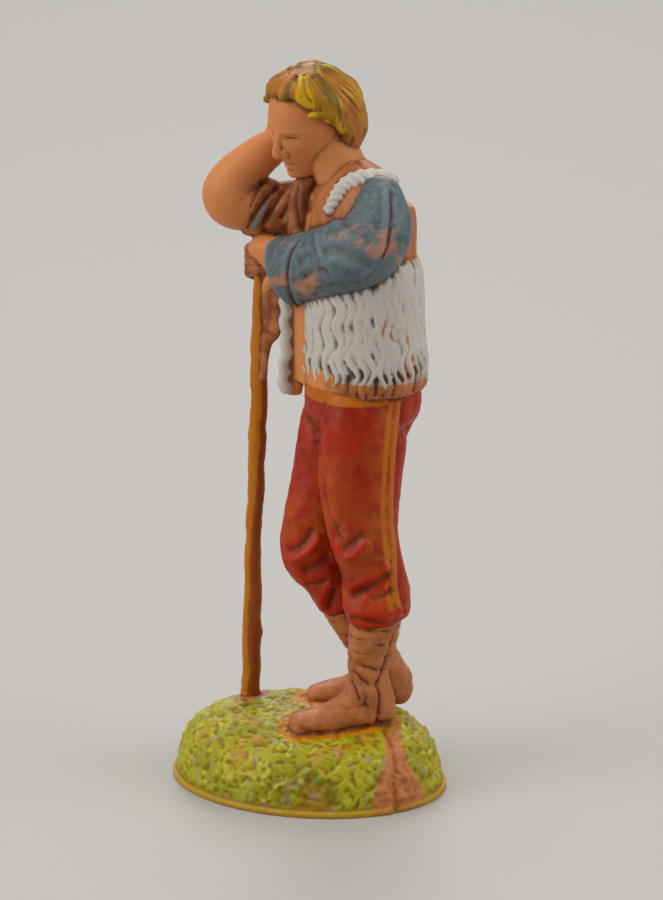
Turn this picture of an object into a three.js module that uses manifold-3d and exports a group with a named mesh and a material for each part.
// A moulded and hand-painted figurine of a young shepherd, about 10 cm tall, who leans on a staff.
// The shepherd, the staff and the turf mound are one casting, so the model is one closed mesh.
// Units are millimetres, +Z is up, and the origin is the centre of the mound's flat underside.
// The mould parts in the XZ plane, and the figurine's front faces -Y.
import * as THREE from "three";
import { mergeVertices } from "three/addons/utils/BufferGeometryUtils.js";
import Module from "manifold-3d";

const wasm = await Module();
wasm.setup();

// Driving dimensions. The mound is an oval, and the soles and the staff stand on its top.
const MOUND_LONG = 39.2;
const MOUND_SHORT = 30.6;
const MOUND_HEIGHT = 9.6;
const MOUND_TURN = THREE.MathUtils.degToRad(-21);
const LIP_HEIGHT = 0.8;
const LIP_REACH = 0.55;
const STAFF_RISE = 0.9;
const SOLE = 8.7;
const STAFF_RADIUS = 1.18;
const BRIGHT_SKIN = 0xdd8a58;

// Every place below is given in the main view: x to the right, y away from the viewer, z up.
// The finished casting is turned by this angle into its own frame.
const MAIN_VIEW = THREE.MathUtils.degToRad(45);

// A direction that lies level, at an angle from straight towards the viewer round to the left.
const heading = (degrees) => {
  const angle = THREE.MathUtils.degToRad(degrees);
  return new THREE.Vector3(-Math.sin(angle), -Math.cos(angle), 0);
};

// The figure's own left, square to a heading.
const leftOf = (degrees) => heading(degrees - 90);

const smooth = (low, high, value) => THREE.MathUtils.smoothstep(value, low, high);

// Even, repeatable roughness between -1 and 1 from a few crossed waves.
function ripple(x, y, z, pitch) {
  const k = (2 * Math.PI) / pitch;
  return (
    (Math.sin(k * (x + 0.6 * y) + 1.3 * Math.sin(0.7 * k * z + 1)) +
      Math.sin(k * (0.8 * z - 0.7 * x) + 1.7 * Math.sin(0.6 * k * y + 2)) +
      Math.sin(k * (y - 0.5 * z) + 1.1 * Math.sin(0.8 * k * x + 3))) /
    3
  );
}

// A closed skin over rings of points, made by moving a sphere's vertices. The first and last
// rings are single points.
function skinOver(rings, sides) {
  const geometry = new THREE.SphereGeometry(1, sides, rings.length - 1);
  const position = geometry.attributes.position;
  rings.forEach((ring, row) => {
    for (let column = 0; column <= sides; column += 1) {
      const point = ring(((column % sides) / sides) * 2 * Math.PI);
      position.setXYZ(row * (sides + 1) + column, point.x, point.y, point.z);
    }
  });
  return geometry;
}

// A limb along a smooth spine of stations [x, y, z, half width, half depth]. The width lies along
// the side direction. Round ends bulge by a share of the end's size, and swell(angle, share along,
// point) moves the surface outwards, in millimetres.
function limb({ stations, side, sides = 20, steps = 10, ends = [1, 1], square = 2, swell }) {
  const spine = new THREE.CatmullRomCurve3(
    stations.map(([x, y, z]) => new THREE.Vector3(x, y, z)),
    false,
    "catmullrom",
  );
  const girth = new THREE.CatmullRomCurve3(
    stations.map(([, , , wide, deep]) => new THREE.Vector3(wide, deep, 0)),
    false,
    "catmullrom",
  );
  const slice = (share, offset, scale) => {
    const along = spine.getTangent(share);
    const across = side.clone().addScaledVector(along, -side.dot(along)).normalize();
    const through = along.clone().cross(across);
    const size = girth.getPoint(share);
    const centre = spine.getPoint(share).addScaledVector(along, offset);
    return (angle) => {
      const c = Math.cos(angle);
      const s = Math.sin(angle);
      const stretch = (Math.abs(c) ** square + Math.abs(s) ** square) ** (-1 / square);
      const out = across
        .clone()
        .multiplyScalar(c * size.x * stretch * scale)
        .addScaledVector(through, s * size.y * stretch * scale);
      const point = centre.clone().add(out);
      if (swell && scale > 0) {
        point.addScaledVector(out.normalize(), swell(angle, share, point) * scale);
      }
      return point;
    };
  };
  const girthAt = (share) => Math.min(girth.getPoint(share).x, girth.getPoint(share).y);
  const middle = Array.from({ length: steps + 1 }, (_, i) => slice(i / steps, 0, 1));
  const cap = (share, outwards, bulge) =>
    (bulge > 0.35 ? [0, Math.PI / 4] : [0]).map((turn) =>
      slice(share, outwards * bulge * girthAt(share) * Math.cos(turn), Math.sin(turn)),
    );
  return skinOver([...cap(0, -1, ends[0]), ...middle, ...cap(1, 1, ends[1]).reverse()], sides);
}

// Merged vertices, and every face turned outwards.
function closed(geometry) {
  geometry.deleteAttribute("normal");
  geometry.deleteAttribute("uv");
  const merged = mergeVertices(geometry, 1e-4);
  const p = merged.attributes.position;
  const index = merged.index.array;
  const [a, b, c] = [new THREE.Vector3(), new THREE.Vector3(), new THREE.Vector3()];
  let volume = 0;
  for (let i = 0; i < index.length; i += 3) {
    a.fromBufferAttribute(p, index[i]);
    b.fromBufferAttribute(p, index[i + 1]);
    c.fromBufferAttribute(p, index[i + 2]);
    volume += a.dot(b.cross(c));
  }
  if (volume < 0) {
    for (let i = 0; i < index.length; i += 3) {
      [index[i + 1], index[i + 2]] = [index[i + 2], index[i + 1]];
    }
  }
  return merged;
}

// Folds and creases: each stroke is a line of points, a half width and a height, and it lifts the
// surface near the line, or sinks it where the height is negative.
function carve(geometry, strokes) {
  const merged = closed(geometry);
  merged.computeVertexNormals();
  const p = merged.attributes.position;
  const n = merged.attributes.normal;
  const lines = strokes.map(({ points, width, height }) => ({
    curve: new THREE.CatmullRomCurve3(points.map((q) => new THREE.Vector3(...q))).getPoints(16),
    width,
    height,
  }));
  const vertex = new THREE.Vector3();
  const normal = new THREE.Vector3();
  const nearest = new THREE.Vector3();
  const span = new THREE.Line3();
  for (let i = 0; i < p.count; i += 1) {
    vertex.fromBufferAttribute(p, i);
    normal.fromBufferAttribute(n, i);
    let lift = 0;
    for (const { curve, width, height } of lines) {
      let gap = Infinity;
      for (let j = 1; j < curve.length; j += 1) {
        span.set(curve[j - 1], curve[j]).closestPointToPoint(vertex, true, nearest);
        gap = Math.min(gap, nearest.distanceTo(vertex));
      }
      lift += height * Math.exp(-((gap / width) ** 2));
    }
    vertex.addScaledVector(normal, lift);
    p.setXYZ(i, vertex.x, vertex.y, vertex.z);
  }
  merged.deleteAttribute("normal");
  return merged;
}

function solidOf(geometry) {
  const merged = geometry.attributes.normal ? closed(geometry) : geometry;
  return new wasm.Manifold(
    new wasm.Mesh({
      numProp: 3,
      vertProperties: merged.attributes.position.array,
      triVerts: new Uint32Array(merged.index.array),
    }),
  );
}

function geometryOf(solid) {
  const { vertProperties, triVerts } = solid.getMesh();
  return new THREE.BufferGeometry()
    .setAttribute("position", new THREE.BufferAttribute(new Float32Array(vertProperties), 3))
    .setIndex(new THREE.BufferAttribute(new Uint32Array(triVerts), 1));
}

// The turf mound: an oval dome with a flat underside, a thin lip at its foot and rough turf. It
// slopes down towards the front, and rises towards the staff.
function mound() {
  const long = MOUND_LONG / 2;
  const short = MOUND_SHORT / 2;
  const shares = [0.22, 0.4, 0.56, 0.7, 0.8, 0.88, 0.94, 0.972];
  const oval = (angle, share, z) => {
    const x = long * share * Math.cos(angle);
    const y = short * share * Math.sin(angle);
    return new THREE.Vector3(
      x * Math.cos(MOUND_TURN) - y * Math.sin(MOUND_TURN),
      x * Math.sin(MOUND_TURN) + y * Math.cos(MOUND_TURN),
      z,
    );
  };
  const inner = 1 - LIP_REACH / short;
  const turf = (share) => (angle) => {
    const dome = (1 - share ** 5.6) ** 0.5;
    const point = oval(angle, share * inner, LIP_HEIGHT + (MOUND_HEIGHT - LIP_HEIGHT) * dome);
    point.z -= 0.8 * smooth(2, 9, -point.y) * dome;
    point.z += STAFF_RISE * smooth(-4, 9, -point.x) * dome;
    const rough = 0.26 * ripple(point.x, point.y, point.z, 4.2) * smooth(0.1, 0.5, share);
    return point.addScaledVector(oval(angle, share, 4).normalize(), rough);
  };
  const level = (share, z) => (angle) => oval(angle, share, z);
  return skinOver(
    [
      level(0, MOUND_HEIGHT),
      ...shares.map(turf),
      level(inner, LIP_HEIGHT),
      level(0.995, LIP_HEIGHT),
      level(1, LIP_HEIGHT * 0.5),
      level(0.995, 0),
      level(0, 0),
    ],
    38,
  );
}

// The staff: a barked, slightly crooked stick that thickens towards its foot. Its top end is
// under the left hand.
function staff() {
  const foot = new THREE.Vector3(-8.1, 8.0, 9.0);
  const top = new THREE.Vector3(-6.2, 5.2, 73.0);
  const station = (share, thickness, aside = 0) => {
    const at = foot.clone().lerp(top, share);
    return [at.x + aside, at.y, at.z, STAFF_RADIUS * thickness, STAFF_RADIUS * thickness];
  };
  return limb({
    stations: [
      station(0, 1.25),
      station(0.04, 1.1),
      station(0.16, 1.12),
      station(0.34, 0.98, -0.12),
      station(0.5, 1.0, 0.05),
      station(0.66, 1.0, 0.12),
      station(0.8, 1.05, 0.06),
      station(0.9, 0.85, 0.05),
      station(1, 0.72),
    ],
    side: new THREE.Vector3(1, 0, 0),
    sides: 8,
    steps: 16,
    ends: [0.2, 0.6],
    swell: (angle, share) => 0.1 * Math.sin(share * 60 + 2 * Math.cos(angle + share * 20)),
  });
}

// A boot: a soft shoe, an instep, and a shaft that is wound with bands.
function boot({ heel, toe, ankle, calf, direction, heelRise, toeRise, size }) {
  const side = leftOf(direction);
  const sole = (share, up) => [
    THREE.MathUtils.lerp(heel[0], toe[0], share),
    THREE.MathUtils.lerp(heel[1], toe[1], share),
    SOLE + heelRise * (1 - share) ** 1.5 + toeRise * share + up,
  ];
  const shoe = limb({
    stations: [
      [...sole(0.1, 2.4), 2.2 * size, 2.4],
      [...sole(0.3, 2.3), 2.25 * size, 2.3],
      [...sole(0.52, 1.9), 2.5 * size, 2.0],
      [...sole(0.74, 1.5), 2.7 * size, 1.55],
      [...sole(0.9, 1.15), 2.2 * size, 1.2],
    ],
    side,
    sides: 14,
    steps: 6,
    ends: [0.85, 1.05],
    square: 2.4,
  });
  const part = (share) => ankle.map((value, i) => THREE.MathUtils.lerp(value, calf[i], share));
  const shaft = limb({
    stations: [
      [...sole(0.16, 3.2), 2.4, 2.8],
      [...ankle, 2.55, 2.75],
      [...part(0.5), 3.0, 3.3],
      [...calf, 3.2, 3.5],
    ],
    side,
    sides: 14,
    steps: 8,
    ends: [0.7, 0.3],
    swell: (angle, share) => 0.15 * Math.sin(2 * Math.PI * 4 * share + 1.2 * Math.sin(angle)),
  });
  const instep = limb({
    stations: [
      [ankle[0], ankle[1], ankle[2] + 0.4, 2.1, 2.1],
      [...sole(0.38, 3.9), 2.0 * size, 1.8],
      [...sole(0.66, 2.1), 2.0 * size, 1.3],
    ],
    side,
    sides: 12,
    steps: 4,
  });
  return [shoe, shaft, instep];
}

const LEFT_BOOT = {
  heel: [11.3, -2.4],
  toe: [-2.9, -5.9],
  ankle: [8.0, -3.0, 16.4],
  calf: [9.1, -3.8, 24.6],
  direction: 75,
  heelRise: 0,
  toeRise: 0,
  size: 1,
};

const RIGHT_BOOT = {
  heel: [14.0, 6.9],
  toe: [-0.6, 6.4],
  ankle: [9.7, 5.2, 14.7],
  calf: [5.0, 3.2, 24.2],
  direction: 88,
  heelRise: -0.4,
  toeRise: 0,
  size: 0.95,
};

// The breeches: full thighs, cloth that bags over the knees, and hems gathered on the boots.
function breeches() {
  const side = leftOf(58);
  const left = limb({
    stations: [
      [7.8, -2.8, 54.0, 4.8, 6.2],
      [7.3, -3.7, 49.5, 5.0, 6.2],
      [6.9, -4.4, 43.0, 4.9, 5.7],
      [7.3, -4.6, 36.5, 4.3, 4.8],
      [8.5, -4.3, 31.5, 4.0, 4.3],
      [9.0, -4.1, 28.0, 4.3, 4.7],
      [9.4, -3.9, 25.0, 4.1, 4.4],
    ],
    side,
    sides: 20,
    steps: 14,
    ends: [0.4, 0.35],
  });
  const right = limb({
    stations: [
      [5.2, 3.0, 53.5, 4.4, 5.4],
      [3.7, 2.7, 48.5, 4.6, 5.2],
      [2.3, 1.9, 42.5, 4.3, 4.6],
      [1.0, 1.0, 37.0, 4.1, 4.4],
      [0.7, 0.9, 32.2, 4.2, 4.5],
      [2.6, 1.7, 28.6, 3.4, 3.7],
      [4.5, 2.6, 25.2, 3.4, 3.6],
    ],
    side,
    sides: 20,
    steps: 14,
    ends: [0.4, 0.35],
  });
  const hips = limb({
    stations: [
      [5.4, -0.3, 46.8, 4.6, 4.6],
      [6.6, 0.1, 50.6, 7.2, 6.9],
      [7.0, 0.1, 54.0, 7.7, 7.4],
      [6.8, 0.1, 58.5, 7.5, 7.2],
    ],
    side,
    sides: 22,
    steps: 4,
    ends: [0.5, 0.2],
  });
  const seat = limb({
    stations: [
      [10.4, 0.6, 49.6, 3.2, 3.0],
      [10.6, 0.9, 52.6, 5.2, 4.0],
      [10.4, 1.0, 56.0, 5.4, 4.0],
    ],
    side,
    sides: 18,
    steps: 4,
  });
  return [
    carve(left, [
      { points: [[3.2, -7.5, 38.5], [4.6, -8.9, 34.8], [7.6, -9.2, 37.2]], width: 0.9, height: 0.6 },
      { points: [[4.9, -8.4, 32.8], [8.6, -9.0, 33.4], [11.8, -7.0, 36.4]], width: 1.1, height: -0.4 },
      { points: [[4.9, -8.2, 27.9], [8.8, -8.9, 29.8], [12.6, -5.6, 32.4]], width: 0.9, height: 0.6 },
      { points: [[5.2, -7.4, 26.2], [9.2, -8.0, 27.2], [12.8, -5.6, 27.0]], width: 0.7, height: -0.4 },
    ]),
    carve(right, [
      { points: [[-3.4, 3.5, 33.4], [-3.2, -2.4, 33.0], [1.6, -3.6, 35.6]], width: 0.9, height: 0.5 },
      { points: [[-2.6, 2.0, 30.6], [-1.0, -1.9, 30.2], [3.2, -2.0, 32.4]], width: 0.8, height: -0.5 },
      { points: [[-1.0, 0.6, 28.2], [0.6, -1.6, 28.4], [4.0, -1.2, 31.0]], width: 0.8, height: 0.5 },
      { points: [[0.9, 0.4, 25.4], [2.0, -1.0, 26.2], [4.6, -0.9, 28.4]], width: 0.7, height: 0.5 },
    ]),
    hips,
    seat,
  ];
}

// The fleece waistcoat: locks of wool run down it in waves. It hangs open at the front, where
// the shirt shows, and its right front stands away from the body.
function waistcoat() {
  const facing = 52;
  const opening = 96;
  const side = leftOf(facing);
  const around = (point, centre) => {
    const angle = Math.atan2(-(point.x - centre[0]), -(point.y - centre[1]));
    return THREE.MathUtils.radToDeg(angle);
  };
  const wool = (angle, share, point) => {
    const turn = Math.abs(around(point, [7.3, 0.3]) - opening);
    const edge = smooth(8, 15, turn);
    const fleece = 1 - smooth(72, 77, point.z);
    const wave = angle + 0.14 * Math.sin(point.z * 0.6 + 3 * Math.sin(angle));
    const lock = 0.32 * Math.cos(13 * wave) + 0.22 * Math.sin(point.z * 1.3 + 3 * angle);
    return fleece * edge * lock - 0.9 * (1 - edge);
  };
  const trunk = limb({
    stations: [
      [7.7, 0.2, 55.7, 9.0, 7.6],
      [7.7, 0.2, 57.6, 9.4, 7.9],
      [7.3, 0.1, 62.5, 8.9, 7.2],
      [7.0, 0.1, 68.0, 8.7, 7.0],
      [6.9, 0.4, 73.5, 8.45, 7.1],
      [7.4, 0.9, 78.5, 8.5, 6.8],
      [8.3, 1.2, 82.0, 7.9, 6.0],
      [9.2, 1.3, 83.9, 4.9, 3.6],
    ],
    side,
    sides: 36,
    steps: 15,
    ends: [0.05, 0.3],
    swell: wool,
  });
  const rightFront = limb({
    stations: [
      [-2.4, 2.0, 53.5, 1.8, 1.0],
      [-2.2, 1.8, 58.0, 1.9, 1.2],
      [-2.1, 1.8, 63.0, 1.9, 1.2],
      [-1.8, 1.8, 68.5, 1.9, 1.2],
    ],
    side: leftOf(10),
    sides: 14,
    steps: 8,
    ends: [0.7, 0.5],
    swell: (angle, share) => 0.2 * Math.sin(share * 22 + Math.cos(angle)),
  });
  const collar = limb({
    stations: [
      [11.3, 0.2, 83.5, 1.3, 0.7],
      [8.9, -2.5, 84.1, 1.45, 0.8],
      [6.6, -3.2, 83.9, 1.45, 0.85],
      [4.9, -3.4, 83.1, 1.3, 0.85],
      [3.8, -3.7, 81.8, 1.1, 0.75],
      [2.7, -3.9, 80.0, 0.8, 0.6],
    ],
    side: new THREE.Vector3(0.6, -0.5, -0.6).normalize(),
    sides: 10,
    steps: 8,
    ends: [0.7, 0.9],
    swell: (angle, share) => 0.16 * Math.sin(share * 34),
  });
  const lapel = limb({
    stations: [
      [1.2, 4.4, 83.6, 1.2, 0.9],
      [-0.4, 2.6, 82.6, 1.4, 1.1],
      [-1.4, 1.2, 79.6, 1.4, 1.1],
      [-1.6, 0.4, 76.0, 1.3, 1.0],
    ],
    side: new THREE.Vector3(0.7, -0.7, 0),
    sides: 10,
    steps: 7,
    ends: [0.8, 0.8],
  });
  return [trunk, rightFront, collar, lapel];
}

// The web of casting that fills the gap between the staff and the waistcoat's right front.
function web() {
  return limb({
    stations: [
      [-5.9, 4.8, 53.4, 0.9, 0.4],
      [-5.3, 4.2, 58.5, 1.2, 0.5],
      [-4.8, 3.6, 62.5, 1.8, 0.6],
      [-4.9, 3.6, 66.0, 1.9, 0.7],
      [-4.6, 3.6, 71.0, 2.2, 0.9],
    ],
    side: new THREE.Vector3(-0.7, 0.7, 0),
    sides: 8,
    steps: 4,
    ends: [0.5, 0.5],
  });
}

// The shirt's loose sleeves: the left one ends in a wide cuff, the right one is rolled up.
function sleeves() {
  const left = limb({
    stations: [
      [8.8, -2.4, 80.8, 3.6, 4.2],
      [9.2, -5.4, 78.6, 4.1, 4.6],
      [7.8, -7.0, 75.8, 4.4, 4.7],
      [4.6, -5.6, 74.0, 4.4, 4.9],
      [0.8, -2.2, 72.2, 3.9, 4.9],
      [-1.6, 0.4, 71.2, 3.6, 4.7],
    ],
    side: new THREE.Vector3(0.3, 0.6, 0.2).normalize(),
    sides: 16,
    steps: 10,
    ends: [0.8, 0.12],
  });
  const cuff = limb({
    stations: [
      [-1.2, 0.2, 71.1, 3.7, 4.9],
      [-2.7, 1.6, 70.4, 3.8, 5.0],
    ],
    side: new THREE.Vector3(0.3, 0.6, 0.2).normalize(),
    sides: 16,
    steps: 2,
    ends: [0.1, 0.15],
  });
  const right = limb({
    stations: [
      [2.2, 5.4, 78.8, 3.3, 3.9],
      [-1.6, 6.6, 78.0, 3.3, 3.9],
      [-4.6, 7.0, 77.8, 3.3, 3.8],
      [-7.0, 7.0, 78.4, 3.2, 3.6],
    ],
    side: new THREE.Vector3(0, 1, 0),
    sides: 16,
    steps: 6,
    ends: [0.6, 0.1],
  });
  const roll = limb({
    stations: [
      [-5.6, 7.0, 77.8, 3.4, 4.2],
      [-7.4, 7.0, 78.4, 3.5, 4.2],
    ],
    side: new THREE.Vector3(0, 1, 0),
    sides: 16,
    steps: 2,
    ends: [0.15, 0.2],
  });
  return [
    carve(left, [
      { points: [[13.0, -7.0, 73.6], [8.0, -11.0, 73.4], [3.0, -8.6, 74.6]], width: 1.0, height: -0.45 },
      { points: [[9.6, -8.6, 81.6], [7.6, -10.6, 77.6], [4.4, -9.4, 76.2]], width: 1.0, height: 0.4 },
      { points: [[3.6, -8.0, 71.6], [1.2, -6.6, 73.4], [-1.4, -3.6, 74.6]], width: 0.8, height: -0.3 },
    ]),
    cuff,
    carve(right, [
      { points: [[-5.4, 3.6, 76.2], [-3.2, 3.0, 79.0], [-3.0, 4.6, 81.6]], width: 0.7, height: -0.4 },
      { points: [[-2.4, 3.0, 75.6], [-1.0, 2.6, 78.6], [-0.8, 4.0, 81.4]], width: 0.7, height: 0.4 },
    ]),
    roll,
  ];
}

// Bare forearm and hands: the left hand caps the staff, the right one props the head.
function arms() {
  const rightArm = limb({
    stations: [
      [-5.6, 7.0, 78.2, 2.8, 3.0],
      [-9.4, 7.0, 78.6, 3.4, 3.6],
      [-10.4, 7.0, 80.1, 3.5, 3.7],
      [-9.2, 7.0, 82.5, 3.0, 3.1],
      [-6.6, 7.2, 84.8, 2.6, 2.7],
      [-4.2, 7.9, 86.8, 2.2, 2.3],
      [-3.4, 8.6, 89.6, 2.3, 1.5],
      [-2.8, 8.6, 92.8, 2.0, 1.1],
    ],
    side: new THREE.Vector3(0.3, 0.9, 0),
    sides: 12,
    steps: 11,
    ends: [0.5, 0.9],
  });
  const leftHand = limb({
    stations: [
      [-1.4, 0.8, 71.6, 2.0, 3.0],
      [-4.0, 3.0, 72.3, 1.9, 2.9],
      [-5.8, 4.6, 73.0, 2.0, 2.1],
      [-7.4, 6.3, 72.8, 1.7, 1.6],
      [-7.6, 7.1, 71.4, 1.3, 1.3],
    ],
    side: new THREE.Vector3(0.6, 0.6, 0).normalize(),
    sides: 12,
    steps: 7,
    ends: [0.5, 0.8],
  });
  const thumb = limb({
    stations: [
      [-3.6, 1.2, 70.6, 1.2, 1.2],
      [-5.2, 3.0, 68.8, 0.9, 1.0],
      [-5.8, 4.2, 67.4, 0.7, 0.8],
    ],
    side: new THREE.Vector3(0, 1, 0),
    sides: 10,
    steps: 4,
  });
  return [rightArm, leftHand, thumb];
}

// The head is bowed and leans towards the propping hand. It is set out in a frame of its own:
// across to the figure's left, forward through the face, and up through the crown.
const HEAD = {
  centre: new THREE.Vector3(0.25, 2.9, 91.0),
  facing: 50,
  bow: THREE.MathUtils.degToRad(16),
  lean: THREE.MathUtils.degToRad(-5),
  chin: -7.0,
  crown: 6.4,
  halfWidth: 5.1,
  face: 6.3,
  back: 6.5,
};

// The height of the hair's edge, as a share of the head's, at turns away from the face's middle.
const HAIR_CUT = [
  [0, 0.86],
  [0.6, 0.86],
  [1.1, 0.72],
  [1.5, 0.5],
  [1.75, 0.22],
  [2.2, 0.16],
  [Math.PI, 0.16],
];

function head() {
  const level = heading(HEAD.facing);
  const forward = level.clone().applyAxisAngle(leftOf(HEAD.facing), HEAD.bow);
  const across = leftOf(HEAD.facing).applyAxisAngle(forward, HEAD.lean);
  const up = forward.clone().cross(across);
  const place = (x, y, z) =>
    HEAD.centre
      .clone()
      .addScaledVector(across, x)
      .addScaledVector(forward, y)
      .addScaledVector(up, z);

  // One ring of the head at a height, grown by a thickness that may depend on the angle.
  const ring = (height, thickness) => (angle) => {
    const share = (height - HEAD.chin) / (HEAD.crown - HEAD.chin);
    const round = Math.sqrt(Math.max(0, 1 - Math.max(0, (share - 0.52) / 0.48) ** 2.4));
    const jaw = smooth(-0.14, 0.6, share);
    const grow = thickness(angle, share);
    const wide = HEAD.halfWidth * round * (0.4 + 0.6 * jaw) + grow;
    const front = HEAD.face * round * (0.8 + 0.2 * smooth(0, 0.5, share)) + grow;
    const back = HEAD.back * round * (0.1 + 0.9 * smooth(-0.05, 0.55, share)) + grow;
    const c = Math.cos(angle);
    const s = Math.sin(angle);
    return place(s * wide, c * (c > 0 ? front : back), height + grow * smooth(0.7, 1, share));
  };
  const heights = (count, low, high) =>
    Array.from({ length: count }, (_, i) => THREE.MathUtils.lerp(high, low, i / (count - 1)));
  const point = (x, y, z) => () => place(x, y, z);
  const bare = () => 0;
  const skull = skinOver(
    [
      point(0, 0, HEAD.crown),
      ...heights(8, HEAD.chin + 0.5, HEAD.crown - 0.4).map((h) => ring(h, bare)),
      point(0, 2.2, HEAD.chin - 0.1),
    ],
    20,
  );
  // The hair is a bowl cut: a high fringe over the brow, cut lower and lower towards the nape,
  // where it hangs straight and stands away from the head.
  const cut = (angle, share) => {
    const turn = Math.abs(THREE.MathUtils.euclideanModulo(angle + Math.PI, 2 * Math.PI) - Math.PI);
    const low = HAIR_CUT.findIndex(([at]) => at > turn) - 1;
    const [[from, high], [to, lower]] = low < 0 ? HAIR_CUT.slice(-2) : HAIR_CUT.slice(low, low + 2);
    const edge = THREE.MathUtils.mapLinear(turn, from, to, high, lower);
    const hang = (1.2 + 1.4 * smooth(1.7, 2.7, turn)) * smooth(1.3, 1.8, turn);
    const strands = 0.14 * Math.cos(11 * angle + 3 * share);
    const thickness = 1.45 + strands + hang * (1 - smooth(0.18, 0.56, share));
    return smooth(edge - 0.05, edge + 0.05, share) * thickness - 0.5;
  };
  const hair = skinOver(
    [
      point(0, 0, HEAD.crown + 0.85),
      ...heights(11, HEAD.chin + 1.4, HEAD.crown - 0.15).map((h) => ring(h, cut)),
      point(0, -1, HEAD.chin + 1.6),
    ],
    26,
  );
  const nose = limb({
    stations: [
      [...place(0, 5.7, 0.4).toArray(), 0.45, 0.4],
      [...place(0, 6.3, -1.3).toArray(), 0.65, 0.6],
      [...place(0, 6.5, -2.2).toArray(), 0.8, 0.7],
    ],
    side: across,
    sides: 8,
    steps: 3,
    ends: [0.6, 0.7],
  });
  const neck = limb({
    stations: [
      [5.8, 1.5, 81.0, 3.7, 3.9],
      [4.1, 2.2, 84.6, 3.1, 3.7],
      [2.4, 2.8, 88.6, 3.0, 3.6],
    ],
    side: leftOf(HEAD.facing),
    sides: 16,
    steps: 4,
  });
  return [skull, hair, nose, neck];
}

const pieces = [
  mound(),
  staff(),
  ...boot(LEFT_BOOT),
  ...boot(RIGHT_BOOT),
  ...breeches(),
  ...waistcoat(),
  web(),
  ...sleeves(),
  ...arms(),
  ...head(),
];
const casting = pieces.map(solidOf).reduce((sum, solid) => sum.add(solid));

const shepherd = new THREE.Mesh(
  geometryOf(casting),
  new THREE.MeshStandardMaterial({ color: BRIGHT_SKIN, roughness: 0.5, metalness: 0 }),
);
shepherd.name = "shepherd_figurine";
shepherd.rotation.z = MAIN_VIEW;

const part = new THREE.Group();
part.add(shepherd);
export default part;
